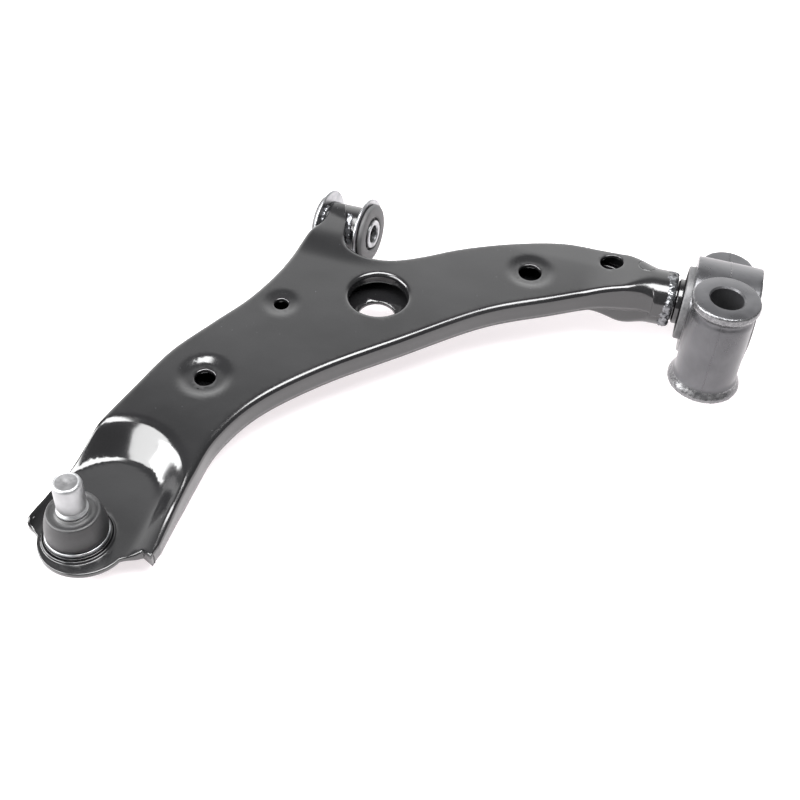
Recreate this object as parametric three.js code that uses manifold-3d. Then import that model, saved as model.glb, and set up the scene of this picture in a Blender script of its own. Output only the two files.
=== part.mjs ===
// Left front lower control arm of a passenger car: a pressed steel arm with a ball joint,
// a front bush in a welded eye, and a rear bush on a horn, carried in a cast two-column bracket.
// Millimetres. X runs rearwards along the pivot axis, Y inboard, Z up.
import * as THREE from 'three';
import { mergeVertices } from 'three/addons/utils/BufferGeometryUtils.js';
import Module from 'manifold-3d';

// ---------------------------------------------------------------- driving dimensions
// Layout. The pivot axis passes through the front bush, which stands at x = 0, y = 0.
const pivotHeight = 40; // pivot axis above the surface the arm stands on
const bushSpread = 318; // front bush centre to rear bracket centre
const ballReach = 361; // pivot axis to ball joint, across the car
const ballForward = 69; // ball joint ahead of the front bush

// Pressed steel
const sheet = 3.2; // sheet thickness
const fit = 0.3; // gap between pieces that touch
const armTop = 57; // top face height at the pivot axis
const armDepth = 22; // top face to underside of the closed box section
const wallDepth = 18; // height of the upper shell's side wall
const lap = 7; // how far the lower shell's wall reaches up inside the upper one
const pressingStep = 12; // pitch of the grid that carries the pressed relief

// Ball joint end
const plateTop = 21; // top of the flat plate around the ball joint
const plateRadius = 31.5; // round end of the plate
const plateShift = 4.5; // its centre behind the ball joint
const pocketRadius = 34; // half width of the pocket's flat floor
const pocketShift = 3; // the pocket's centre line behind the ball joint
const pocketLength = 36; // from the ball joint to the centre of the pocket's round end
const pocketRamps = { end: 24, rear: 19, front: 8 }; // widths of the slopes around the floor
const lipHeight = 1.6; // raised lip around the ball joint housing
const lipWidth = 2;

// Ball joint
const ballRadius = 12.5;
const ballHeight = 18; // ball centre above the surface
const seatWall = 2;
const housingRadius = 20;
const housingFlangeRadius = 22.6;
const housingTop = 27.4;
const mouthRadius = 12;
const neckRadius = 7;
const shankRadius = 9.9;
const studTop = 76;
const studCollarHeight = 48.2;
const bootRadius = 21;
const bootWall = 2.6;
const bootShoulderRadius = 17.8;

// Front eye and bush
const eyeRadius = 20;
const eyeWall = 2.2;
const eyeLength = 33;
const eyeYaw = -7; // degrees that the bush is turned about Z
const eyePitch = 4.5; // degrees that its rear end is raised
const tongueOffset = -8.6; // the arm's tongue over the eye sits ahead of the bush centre
const tongueWidth = 11;
const bushSleeveWall = 1.4;
const bushFlangeRadius = 29;
const bushFlangeThickness = 2.4;
const bufferRadius = 25; // rubber discs at both ends
const bufferThickness = 4.2;
const frontSleeveRadius = 12;
const frontBoreRadius = 7.4;
const frontSleeveLength = 49;

// Horn and rear bush
const hornTubeRadius = 22; // the shells close into a tube here
const hornRootGap = 3.8; // between the horn's root and the tube it sits in
const hornRootRadius = hornTubeRadius - sheet - hornRootGap; // part of the horn inside the arm
const hornRootLength = 50;
const hornCollarRadius = 18.5;
const hornCollarLength = 13;
const hornSpigotRadius = 13;
const hornGap = 42; // arm end to bracket centre
const rearSleeveRadius = 18;
const rearBushRadius = 30;
const rearRingWall = 2.6;
const rearBushOverhang = { front: 5, rear: 1.5 }; // the bush's outer ring stands out of the bracket

// Rear bracket
const bracketRadius = 39.6;
const bracketLength = 52;
const columnSpread = 41.5; // horn axis to each bolt axis
const columnRadius = 24.6;
const columnHeight = 86; // outboard column
const lowColumnHeight = 53; // inboard column
const lowColumnRadius = 22.5;
const headRadius = 27;
const headHeight = 11;
const footRadius = 29.2;
const footHeight = 9;
const counterboreRadius = 12.9;
const counterboreDepth = 28;
const boltRadius = 7.6;

// Lightening hole, with its rim turned in
const bigHoleRadius = 23.5;
const bigHoleLip = 6;

// ---------------------------------------------------------------- reference points
const vec = (x, y) => new THREE.Vector2(x, y);
const ball = vec(-ballForward, -ballReach);
const eye = vec(0, 0);
const armEndX = bushSpread - hornGap;
const horn = vec(armEndX, 0);

// A point a fraction of the way from one place to another, set off to the left by some mm.
function between(from, to, fraction, aside) {
  const run = to.clone().sub(from);
  const left = vec(-run.y, run.x).normalize();
  return from.clone().addScaledVector(run, fraction).addScaledVector(left, aside);
}

// Small holes in the top face, most of them in a shallow round dish.
const holes = [
  { centre: between(ball, eye, 0.41, -0.5), radius: 7.8, dish: 21, depth: 2.2 },
  { centre: between(ball, eye, 0.665, -9), radius: 5.8, dish: 15, depth: 1.4 },
  { centre: between(eye, horn, 0.593, -23.5), radius: 9.3, dish: 20, depth: 1.6 },
  { centre: between(eye, horn, 0.816, 7.5), radius: 9.3, dish: 0, depth: 0 },
];
const bigHole = between(eye, horn, 0.199, -89);

// ---------------------------------------------------------------- solids
const wasm = await Module();
wasm.setup();

function solid(geometry) {
  const bare = geometry.clone();
  bare.deleteAttribute('normal');
  bare.deleteAttribute('uv');
  const merged = mergeVertices(bare, 1e-4);
  const mesh = new wasm.Mesh({
    numProp: 3,
    vertProperties: merged.attributes.position.array,
    triVerts: new Uint32Array(merged.index.array),
  });
  return new wasm.Manifold(mesh);
}

function geometryOf(body) {
  const mesh = body.getMesh();
  const geometry = new THREE.BufferGeometry();
  geometry.setAttribute('position', new THREE.BufferAttribute(mesh.vertProperties, 3));
  geometry.setIndex(new THREE.BufferAttribute(mesh.triVerts, 1));
  const faceted = geometry.toNonIndexed();
  faceted.computeVertexNormals();
  return faceted;
}

// A turned piece about Z from [radius, height] points that start and end on the axis,
// or that go once round a ring.
function turned(profile, sides = 32) {
  const points = profile.map(([radius, height]) => vec(radius, height));
  const closed = points[0].x > 0 || points[points.length - 1].x > 0;
  if (closed) points.push(points[0].clone());
  if (THREE.ShapeUtils.area(points) < 0) points.reverse();
  const geometry = new THREE.LatheGeometry(points, sides);
  geometry.rotateX(Math.PI / 2);
  return geometry;
}

// The same piece about X, its heights measured along X.
function turnedAlongX(profile, sides = 32) {
  return turned(profile, sides).rotateY(Math.PI / 2);
}

// An upright prism of an outline, far taller than the arm.
function prism(outline, low = -20, high = 120) {
  const geometry = new THREE.ExtrudeGeometry(new THREE.Shape(outline), {
    depth: high - low,
    bevelEnabled: false,
    steps: 1,
  });
  return solid(geometry.translate(0, 0, low));
}

// A slab over the whole arm, bounded above and below by height functions of x and y.
function slab(topAt, bottomAt) {
  const west = -ballForward - 60;
  const east = bushSpread;
  const south = -ballReach - 60;
  const north = 60;
  const geometry = new THREE.BoxGeometry(
    east - west,
    north - south,
    1,
    Math.round((east - west) / pressingStep),
    Math.round((north - south) / pressingStep),
    1,
  );
  geometry.translate((east + west) / 2, (north + south) / 2, 0);
  const place = geometry.attributes.position;
  for (let i = 0; i < place.count; i += 1) {
    const heightAt = place.getZ(i) > 0 ? topAt : bottomAt;
    place.setZ(i, heightAt(place.getX(i), place.getY(i)));
  }
  return solid(geometry);
}

function distanceToEdge(point, from, to) {
  const run = to.clone().sub(from);
  const share = point.clone().sub(from).dot(run) / run.lengthSq();
  const nearest = from.clone().addScaledVector(run, THREE.MathUtils.clamp(share, 0, 1));
  return nearest.distanceTo(point);
}

// The outline moved inwards, without the points that would fall nearer to another edge.
function inset(outline, distance) {
  const after = (i) => outline[(i + 1) % outline.length];
  const moved = outline.map((point, i) => {
    const before = outline[(i + outline.length - 1) % outline.length];
    const run = after(i).clone().sub(before).normalize();
    return vec(point.x - run.y * distance, point.y + run.x * distance);
  });
  return moved.filter((point) =>
    outline.every((from, i) => distanceToEdge(point, from, after(i)) > distance * 0.93));
}

// ---------------------------------------------------------------- pressed relief
const smooth = THREE.MathUtils.smoothstep;
const mix = THREE.MathUtils.lerp;

// Side view of the top edge: nearly straight, then falling to the ball joint plate.
const sideView = new THREE.CatmullRomCurve3([
  new THREE.Vector3(-0.2, 0, armTop),
  new THREE.Vector3(0, 0, armTop),
  new THREE.Vector3(0.35, 0, armTop - 7),
  new THREE.Vector3(0.7, 0, armTop - 15),
  new THREE.Vector3(0.87, 0, armTop - 21),
  new THREE.Vector3(1, 0, plateTop + 7),
  new THREE.Vector3(1.25, 0, plateTop + 3),
]);
const sideSamples = sideView.getPoints(60);

function crownHeight(y) {
  const share = THREE.MathUtils.clamp(-y / ballReach, 0, 1.15);
  const next = sideSamples.findIndex((sample) => sample.x >= share);
  const high = sideSamples[next];
  const low = sideSamples[next - 1];
  return mix(low.z, high.z, (share - low.x) / (high.x - low.x));
}

// The pocket's floor is a strip with a round end: 0 on it, rising to 1 at the top of its slopes.
function pocketRise(x, y) {
  const across = x - ball.x - pocketShift;
  const beyond = Math.max(0, y - (ball.y + pocketLength));
  const reach = Math.hypot(across, beyond);
  const sideRamp = across > 0 ? pocketRamps.rear : pocketRamps.front;
  const ramp = mix(sideRamp, pocketRamps.end, reach > 0 ? beyond / reach : 0);
  return smooth(reach - pocketRadius, 0, ramp);
}

function topHeight(x, y) {
  let height = crownHeight(y);
  // over the eye the sheet rises to wrap the tube
  const wrapRadius = eyeRadius + fit + sheet;
  if (x < bushSpread / 5 && Math.abs(y) < wrapRadius) {
    height = Math.max(height, pivotHeight + Math.sqrt(wrapRadius ** 2 - y ** 2));
  }
  // towards the horn it closes into a half tube
  const across = Math.max(0, hornTubeRadius ** 2 - y ** 2);
  const towardsHorn = smooth(x, armEndX - 46, armEndX - 8);
  height = mix(height, pivotHeight + Math.sqrt(across), towardsHorn);
  for (const hole of holes) {
    const distance = Math.hypot(x - hole.centre.x, y - hole.centre.y);
    if (hole.dish > 0) height -= hole.depth * (1 - smooth(distance, hole.dish - 7, hole.dish));
  }
  return mix(plateTop, height, pocketRise(x, y));
}

function wallFoot(x, y) {
  const foot = Math.max(crownHeight(y) - wallDepth, plateTop - sheet);
  return mix(foot, pivotHeight - 4, smooth(x, armEndX - 60, armEndX - 8));
}

function floorHeight(x, y) {
  const across = Math.max(0, hornTubeRadius ** 2 - y ** 2);
  const towardsHorn = smooth(x, armEndX - 100, armEndX - 8);
  return mix(crownHeight(y) - armDepth, pivotHeight - Math.sqrt(across), towardsHorn);
}

// ---------------------------------------------------------------- arm outline
// The plate's round end runs between two notches, where the side walls stop in small noses.
const frontNose = vec(ball.x - 37, ball.y - 2);
const rearNose = vec(ball.x + 57.5, ball.y - 5.5);
const plateEnd = [];
for (let i = 0; i <= 10; i += 1) {
  const angle = -mix(0.9, 0.1, i / 10) * Math.PI;
  const x = ball.x + plateShift + plateRadius * Math.cos(angle);
  plateEnd.push(vec(x, ball.y + plateRadius * Math.sin(angle)));
}
plateEnd.push(vec(ball.x + 43, ball.y - 5), vec(ball.x + 47, ball.y - 2));

// The rear edge runs from the ball joint to the horn.
const rearEdge = [
  rearNose,
  vec(ball.x + 56.5, ball.y + 31),
  vec(ball.x + 57, ball.y + 63),
  between(ball, horn, 0.225, 24.5),
  between(ball, horn, 0.305, 41),
  between(ball, horn, 0.415, 47),
  between(ball, horn, 0.545, 45.5),
  between(eye, horn, 0.505, -81.5),
  between(eye, horn, 0.68, -50.5),
  between(eye, horn, 0.8, -31),
  between(eye, horn, 0.9, -24),
  vec(armEndX, 0.4 - hornTubeRadius),
];
// The inboard edge comes back from the horn and sweeps under the bush to the tongue.
const inboardEdge = [
  vec(armEndX, hornTubeRadius - 0.4),
  between(eye, horn, 0.88, 22),
  between(eye, horn, 0.76, 25.5),
  between(eye, horn, 0.65, 23),
  between(eye, horn, 0.52, 9.5),
  between(eye, horn, 0.375, -12),
  between(eye, horn, 0.27, -32.5),
  between(eye, horn, 0.2, -43.5),
  between(eye, horn, 0.137, -eyeRadius - 28.5),
  between(eye, horn, 0.078, -eyeRadius - 26.5),
  between(eye, horn, 0.034, -eyeRadius - 17),
];
// The front edge goes down from the eye's neck to the plate.
const frontEdge = [
  between(ball, eye, 0.88, 15.5),
  between(ball, eye, 0.76, 13.5),
  between(ball, eye, 0.65, 17.5),
  between(ball, eye, 0.55, 27.5),
  between(ball, eye, 0.438, 38),
  between(ball, eye, 0.32, 40.5),
  between(ball, eye, 0.218, 42),
  between(ball, eye, 0.1, 41),
  frontNose,
];

const splined = (points, pieces) => new THREE.SplineCurve(points).getPoints(pieces);

// The arm's outline, anticlockwise from above, with the end of the eye's neck given on both sides.
function outlineWith(neckRear, neckFront) {
  return [
    ...splined(rearEdge, 33),
    ...splined([...inboardEdge, ...neckRear], 33),
    ...splined([...neckFront, ...frontEdge], 26),
    ...plateEnd,
  ];
}

// The upper shell ends in a tongue over the eye, the lower one stops bluntly at the tube's side.
const armOutline = outlineWith(
  [vec(tongueOffset + tongueWidth, -14), vec(tongueOffset + tongueWidth / 2, 3)],
  [vec(tongueOffset - tongueWidth / 2, 3), vec(tongueOffset - tongueWidth * 0.62, -22)],
);
const bluntOutline = outlineWith(
  [vec(tongueOffset + tongueWidth + 2, 2 - eyeRadius)],
  [vec(tongueOffset - tongueWidth * 0.7, 2 - eyeRadius)],
);

// ---------------------------------------------------------------- cutters
const eyeTurn = new THREE.Matrix4()
  .makeTranslation(0, 0, pivotHeight)
  .multiply(new THREE.Matrix4().makeRotationZ(THREE.MathUtils.degToRad(eyeYaw)))
  .multiply(new THREE.Matrix4().makeRotationY(THREE.MathUtils.degToRad(-eyePitch)));
const inEye = (geometry) => geometry.applyMatrix4(eyeTurn);
const onPivot = (geometry) => geometry.translate(0, 0, pivotHeight);

function rod(radius, from, to, sides = 32) {
  return turnedAlongX([[0, from], [radius, from], [radius, to], [0, to]], sides);
}

function post(radius, low, high, x, y, sides = 24) {
  return turned([[0, low], [radius, low], [radius, high], [0, high]], sides).translate(x, y, 0);
}

const halfEye = eyeLength / 2;
const eyeCutter = solid(inEye(rod(eyeRadius + fit, -halfEye - 1, halfEye + 1)));
const bushReach = frontSleeveLength / 2 + 2;
const flangeCutters = [-1, 1].map((side) =>
  solid(inEye(rod(bushFlangeRadius + fit, side * (halfEye - 0.2), side * bushReach))));
const hornCutter = solid(onPivot(rod(hornRootRadius + fit, armEndX - hornRootLength - 1, armEndX + 5)));

// ---------------------------------------------------------------- pressed shells
const part = new THREE.Group();

function add(name, body, colour, roughness, metalness = 1) {
  const geometry = body.isBufferGeometry ? body : geometryOf(body);
  const material = new THREE.MeshStandardMaterial({ color: colour, roughness, metalness });
  const mesh = new THREE.Mesh(geometry, material);
  mesh.name = name;
  part.add(mesh);
}

const finish = {
  paint: ['#26272a', 0.28, 0.3],
  bareSteel: ['#b9babd', 0.3, 1],
  plated: ['#c8c9cc', 0.25, 1],
  casting: ['#3a3b3e', 0.45, 0.4],
  weld: ['#4a4b4e', 0.35, 0.8],
  rubber: ['#2b2c2e', 0.6, 0],
  polymer: ['#d8d4c8', 0.5, 0],
};

const insideOutline = inset(armOutline, sheet);
const lapOutline = inset(bluntOutline, sheet + fit);
const innerOutline = inset(bluntOutline, sheet * 2 + fit);

// A tray: a plate between two heights with a wall round its edge.
function tray(outer, inner, plate, wall) {
  const rim = prism(outer).subtract(prism(inner));
  return prism(outer).intersect(plate).add(rim.intersect(wall));
}

function liftedBy(heightAt, rise) {
  return (x, y) => heightAt(x, y) + rise;
}

const belowTop = slab(topHeight, liftedBy(topHeight, -sheet));
const sideWall = slab(topHeight, wallFoot);
const bigHoleTop = topHeight(bigHole.x, bigHole.y);
const bigHoleCollar = post(bigHoleRadius + sheet, bigHoleTop - sheet - bigHoleLip,
  bigHoleTop - sheet / 2, bigHole.x, bigHole.y, 32);
const plateLip = post(housingFlangeRadius + fit + lipWidth, plateTop - 1, plateTop + lipHeight,
  ball.x, ball.y, 28);

let upperShell = tray(armOutline, insideOutline, belowTop, sideWall)
  .add(solid(bigHoleCollar))
  .add(solid(plateLip))
  .subtract(solid(post(bigHoleRadius, 0, 90, bigHole.x, bigHole.y, 32)))
  .subtract(solid(post(housingRadius + fit, 0, 90, ball.x, ball.y, 28)))
  .subtract(solid(post(housingFlangeRadius + fit, plateTop, 90, ball.x, ball.y, 28)))
  .subtract(eyeCutter)
  .subtract(hornCutter);
for (const hole of holes) {
  upperShell = upperShell.subtract(solid(post(hole.radius, 0, 90, hole.centre.x, hole.centre.y)));
}
for (const cutter of flangeCutters) upperShell = upperShell.subtract(cutter);
add('upper_shell', upperShell, ...finish.paint);

const shellEnd = 0.65 * ballReach; // the lower shell stops this far outboard of the pivot axis
const aboveFloor = slab(liftedBy(floorHeight, sheet), floorHeight);
const lapTop = (x, y) => Math.min(wallFoot(x, y) + lap, topHeight(x, y) - sheet - fit);
const lapWall = slab(lapTop, floorHeight);
const outboardOfShell = prism([
  vec(-ballForward - 80, -ballReach - 80),
  vec(bushSpread, -ballReach - 80),
  vec(bushSpread, -shellEnd),
  vec(-ballForward - 80, -shellEnd),
]);
let lowerShell = tray(lapOutline, innerOutline, aboveFloor, lapWall)
  .intersect(prism(inset(armOutline, sheet + fit)))
  .subtract(outboardOfShell)
  .subtract(solid(post(bigHoleRadius - sheet, 0, 90, bigHole.x, bigHole.y, 32)))
  .subtract(eyeCutter)
  .subtract(hornCutter);
for (const cutter of flangeCutters) lowerShell = lowerShell.subtract(cutter);
add('lower_shell', lowerShell, ...finish.paint);

// ---------------------------------------------------------------- front eye and bush
const tubeBore = eyeRadius - eyeWall;
add('front_eye_tube', inEye(turnedAlongX([
  [tubeBore, -halfEye],
  [eyeRadius, -halfEye],
  [eyeRadius, halfEye],
  [tubeBore, halfEye],
], 28)), ...finish.paint);

const bushOuter = tubeBore - fit;
const bushInner = bushOuter - bushSleeveWall;
for (const [name, side] of [['front_bush_sleeve_fore', -1], ['front_bush_sleeve_aft', 1]]) {
  const face = side * (halfEye + fit);
  add(name, inEye(turnedAlongX([
    [bushInner, side * 0.5],
    [bushOuter, side * 0.5],
    [bushOuter, face],
    [bushFlangeRadius, face],
    [bushFlangeRadius, face + side * bushFlangeThickness],
    [bushInner, face + side * bushFlangeThickness],
  ], 32)), ...finish.plated);
}

const bufferFace = halfEye + fit + bushFlangeThickness + fit;
const rubberOuter = bushInner - fit;
const rubberInner = frontSleeveRadius + fit;
const bufferEdge = 1.5;
add('front_bush_rubber', inEye(turnedAlongX([
  [rubberInner, -bufferFace - bufferThickness],
  [bufferRadius - bufferEdge, -bufferFace - bufferThickness],
  [bufferRadius, -bufferFace - bufferThickness + bufferEdge],
  [bufferRadius, -bufferFace],
  [rubberOuter, -bufferFace],
  [rubberOuter, bufferFace],
  [bufferRadius, bufferFace],
  [bufferRadius, bufferFace + bufferThickness - bufferEdge],
  [bufferRadius - bufferEdge, bufferFace + bufferThickness],
  [rubberInner, bufferFace + bufferThickness],
], 28)), ...finish.rubber);

const halfSleeve = frontSleeveLength / 2;
add('front_bush_inner_sleeve', inEye(turnedAlongX([
  [frontBoreRadius, 1 - halfSleeve],
  [frontBoreRadius + 1, -halfSleeve],
  [frontSleeveRadius, -halfSleeve],
  [frontSleeveRadius, halfSleeve],
  [frontBoreRadius + 1, halfSleeve],
  [frontBoreRadius, halfSleeve - 1],
], 28)), ...finish.plated);

// Weld beads run up the tube on both sides of the tongue.
function beadOnTube(radius, [xFrom, xTo], [angleFrom, angleTo]) {
  const ring = eyeRadius + fit + radius;
  const points = [];
  for (let i = 0; i <= 4; i += 1) {
    const angle = THREE.MathUtils.degToRad(mix(angleFrom, angleTo, i / 4));
    const x = mix(xFrom, xTo, i / 4);
    points.push(new THREE.Vector3(x, -ring * Math.cos(angle), ring * Math.sin(angle)));
  }
  const section = new THREE.Shape().absarc(0, 0, radius, 0, Math.PI * 2);
  return inEye(new THREE.ExtrudeGeometry(section, {
    steps: 8,
    extrudePath: new THREE.CatmullRomCurve3(points),
    curveSegments: 4,
  }));
}

const tongueAft = tongueOffset + tongueWidth / 2;
const tongueFore = tongueOffset - tongueWidth / 2;
add('eye_weld_aft', beadOnTube(1.9, [tongueAft + 17, tongueAft + 11.5], [-15, 58]), ...finish.weld);
add('eye_weld_fore', beadOnTube(1.2, [tongueFore - 0.4, tongueFore - 0.8], [38, 72]), ...finish.weld);

// ---------------------------------------------------------------- horn and rear bush
const ringFront = bushSpread - bracketLength / 2;
const ringRear = bushSpread + bracketLength / 2;
const bushFront = ringFront - rearBushOverhang.front;
const bushRear = ringRear + rearBushOverhang.rear;
const collarRear = armEndX + fit + hornCollarLength;
const spigotRear = bushRear - 0.5;
const hornBeadRadius = 2.6;
const hornBeadRing = hornTubeRadius - 1.6;
const hornNeckRadius = hornBeadRing - hornBeadRadius - 0.8; // the pin inside the bead
const hornNeckLength = 5;
const collarChamfer = 1.5;
const pinChamfer = 2;
add('rear_horn', onPivot(turnedAlongX([
  [0, armEndX - hornRootLength],
  [hornRootRadius - pinChamfer, armEndX - hornRootLength],
  [hornRootRadius, armEndX - hornRootLength + pinChamfer],
  [hornRootRadius, armEndX + fit],
  [hornNeckRadius, armEndX + fit],
  [hornNeckRadius, armEndX + hornNeckLength],
  [hornCollarRadius, armEndX + hornNeckLength + collarChamfer],
  [hornCollarRadius, collarRear - collarChamfer],
  [hornCollarRadius - collarChamfer, collarRear],
  [hornSpigotRadius, collarRear],
  [hornSpigotRadius, spigotRear - pinChamfer],
  [hornSpigotRadius - pinChamfer, spigotRear],
  [0, spigotRear],
], 28)), ...finish.paint);

const hornBead = new THREE.TorusGeometry(hornBeadRing, hornBeadRadius, 6, 24);
hornBead.rotateY(Math.PI / 2).translate(armEndX + fit + hornBeadRadius, 0, pivotHeight);
add('horn_weld', hornBead, ...finish.weld);

add('rear_bush_inner_sleeve', onPivot(turnedAlongX([
  [hornSpigotRadius + fit, collarRear + fit],
  [rearSleeveRadius, collarRear + fit],
  [rearSleeveRadius, bushRear],
  [hornSpigotRadius + fit, bushRear],
], 28)), ...finish.bareSteel);

const rearRubberOuter = rearBushRadius - rearRingWall - fit;
add('rear_bush_rubber', onPivot(turnedAlongX([
  [rearSleeveRadius + fit, bushFront + 4],
  [rearSleeveRadius + 4, bushFront + 1.5],
  [rearRubberOuter - 1.5, bushFront + 1.5],
  [rearRubberOuter, bushFront + 3],
  [rearRubberOuter, bushRear - 3],
  [rearRubberOuter - 1.5, bushRear - 1],
  [rearSleeveRadius + 4, bushRear - 1],
  [rearSleeveRadius + fit, bushRear - 3],
], 28)), ...finish.rubber);

const ringChamfer = 0.8;
add('rear_bush_outer_ring', onPivot(turnedAlongX([
  [rearBushRadius - rearRingWall, bushFront],
  [rearBushRadius - ringChamfer, bushFront],
  [rearBushRadius, bushFront + ringChamfer],
  [rearBushRadius, bushRear],
  [rearBushRadius - rearRingWall, bushRear],
], 28)), ...finish.bareSteel);

// ---------------------------------------------------------------- rear bracket
const footRim = footHeight * 0.3; // upright part of a foot's edge
const headNeckLength = 5; // the column narrows just under its head
const headNeckDepth = 2;
const headEdge = 0.9;
const inboardFootRadius = footRadius - 3;
const outboardColumn = turned([
  [0, 0],
  [footRadius, 0],
  [footRadius, footRim],
  [columnRadius, footHeight],
  [columnRadius, columnHeight - headHeight - headNeckLength],
  [columnRadius - headNeckDepth, columnHeight - headHeight],
  [columnRadius - headNeckDepth / 2, columnHeight - headHeight + 1],
  [headRadius, columnHeight - headHeight / 2],
  [headRadius - headEdge, columnHeight],
  [0, columnHeight],
], 32).translate(bushSpread, -columnSpread, 0);
const inboardColumn = turned([
  [0, 0],
  [inboardFootRadius, 0],
  [inboardFootRadius, footRim],
  [lowColumnRadius, footHeight],
  [lowColumnRadius, lowColumnHeight - 1],
  [lowColumnRadius - 1, lowColumnHeight],
  [0, lowColumnHeight],
], 32).translate(bushSpread, columnSpread, 0);
const bracketRing = onPivot(rod(bracketRadius, ringFront, ringRear, 40));
const bushSeat = onPivot(rod(rearBushRadius + fit, ringFront - 1, ringRear + 1, 32));
const counterbore = post(counterboreRadius, columnHeight - counterboreDepth, columnHeight + 1,
  bushSpread, -columnSpread, 28);
const outboardBolt = post(boltRadius, -1, columnHeight + 1, bushSpread, -columnSpread, 24);
const inboardBolt = post(boltRadius, -1, columnHeight + 1, bushSpread, columnSpread, 24);
add('rear_bracket', solid(bracketRing)
  .add(solid(outboardColumn))
  .add(solid(inboardColumn))
  .subtract(solid(bushSeat))
  .subtract(solid(counterbore))
  .subtract(solid(outboardBolt))
  .subtract(solid(inboardBolt)), ...finish.casting);

// ---------------------------------------------------------------- ball joint
const atBall = (geometry) => geometry.translate(ball.x, ball.y, 0);

// Points on an arc about the ball centre, from one polar angle to another (degrees from the top).
function ballArc(radius, from, to, pieces) {
  const points = [];
  for (let i = 0; i <= pieces; i += 1) {
    const angle = THREE.MathUtils.degToRad(mix(from, to, i / pieces));
    points.push([radius * Math.sin(angle), ballHeight + radius * Math.cos(angle)]);
  }
  return points;
}
const angleOf = (radius, across) => THREE.MathUtils.radToDeg(Math.asin(across / radius));

const seatInner = ballRadius + fit;
const seatOuter = seatInner + seatWall;
const seatMouthAngle = 60; // degrees from straight up, clear of the tilted neck
const cavity = seatOuter + fit;
const capTop = ballHeight - seatOuter - fit;
const capThickness = 1.8;
const capBottom = capTop - capThickness;
add('ball_joint_housing', atBall(turned([
  [cavity - 2, 0],
  [housingRadius - 3, 0],
  [housingRadius, 8],
  [housingRadius, plateTop + fit],
  [housingFlangeRadius, plateTop + fit],
  [housingFlangeRadius, plateTop + 2.6],
  [housingRadius - 2, plateTop + 2.6],
  [housingRadius - 2, housingTop],
  [mouthRadius + 1.2, housingTop],
  ...ballArc(cavity, angleOf(cavity, mouthRadius), 90, 5),
  [cavity, capBottom - fit],
  [cavity - 2, capBottom - fit],
], 28)), ...finish.paint);
add('ball_joint_cap', atBall(turned([
  [0, capBottom],
  [cavity - fit, capBottom],
  [cavity - fit, capTop],
  [0, capTop],
], 28)), ...finish.plated);
add('ball_seat', atBall(turned([
  ...ballArc(seatInner, seatMouthAngle, 160, 6),
  ...ballArc(seatOuter, 160, seatMouthAngle, 6),
], 24)), ...finish.polymer);

const neckTop = studCollarHeight - 3;
const neckFoot = ballArc(ballRadius, angleOf(ballRadius, neckRadius), 180, 7);
neckFoot[neckFoot.length - 1][0] = 0;
add('ball_stud', atBall(turned([
  ...neckFoot.reverse(),
  [neckRadius, housingTop + 2],
  [shankRadius - 0.7, neckTop - 4],
  [shankRadius - 0.7, studCollarHeight],
  [shankRadius + 0.9, studCollarHeight],
  [shankRadius + 0.9, studCollarHeight + 2],
  [shankRadius - 0.6, studCollarHeight + 3.2],
  [shankRadius - 0.6, studCollarHeight + 4.4],
  [shankRadius, studCollarHeight + 5.2],
  [shankRadius, studTop - 3.2],
  [shankRadius - 0.9, studTop - 1],
  [shankRadius - 2.2, studTop],
  [2.4, studTop],
  [0, studTop - 1.4],
], 24)), ...finish.bareSteel);

// The boot is a cup round the neck: its bead sits on the housing, its top under the collar.
const bootFoot = plateTop + 2.6 + fit;
const bootTop = studCollarHeight - fit;
const bootRingRadius = housingFlangeRadius - 0.6;
const lowerRingTop = bootFoot + 3;
const topRingOuter = shankRadius + 2.4;
add('dust_boot', atBall(turned([
  [housingRadius - 2 + fit, bootFoot],
  [bootRingRadius - 1.7, bootFoot],
  [bootRingRadius - 1.7, lowerRingTop + fit],
  [bootRadius + 0.3, lowerRingTop + fit + 1.4],
  [bootRadius - 0.6, lowerRingTop + 8],
  [bootShoulderRadius + 0.7, bootTop - 3.5],
  [bootShoulderRadius, bootTop - 1.6],
  [bootShoulderRadius - 1.2, bootTop - 0.8],
  [shankRadius - 0.7 + fit, bootTop],
  [shankRadius - 0.7 + fit, bootTop - 1],
  [topRingOuter + fit, bootTop - 1],
  [topRingOuter + fit, bootTop - 4.5],
  [bootShoulderRadius - bootWall, bootTop - 5],
  [bootRadius - bootWall, lowerRingTop + 7],
  [housingRadius - 2 + fit, lowerRingTop + 2],
], 28)), ...finish.rubber);
add('boot_lower_ring', atBall(turned([
  [bootRingRadius - 1.4, bootFoot],
  [bootRingRadius, bootFoot],
  [bootRingRadius, lowerRingTop],
  [bootRingRadius - 1.4, lowerRingTop],
], 28)), ...finish.plated);
add('boot_top_ring', atBall(turned([
  [shankRadius - 0.7 + fit, bootTop - 4.3],
  [topRingOuter, bootTop - 4.3],
  [topRingOuter, bootTop - 1 - fit],
  [shankRadius - 0.7 + fit, bootTop - 1 - fit],
], 28)), ...finish.plated);

// ---------------------------------------------------------------- placing
// The whole part stands on z = 0 with its footprint centred on the origin.
const box = new THREE.Box3().setFromObject(part);
const middle = box.getCenter(new THREE.Vector3());
part.position.set(-middle.x, -middle.y, -box.min.z);

export default part;
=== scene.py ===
"""Left front lower control arm: a pressed steel arm, its ball joint, front bush and rear bracket.

Places inside the arm are in millimetres from the point under the front bush's centre:
x runs rearwards along the pivot axis, y inboard, z up. Finished pieces are in metres.
"""
from math import asin, atan2, cos, degrees, hypot, pi, radians, sin, sqrt, tan

import bmesh
import bpy
from mathutils import Matrix, Vector, noise


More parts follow.
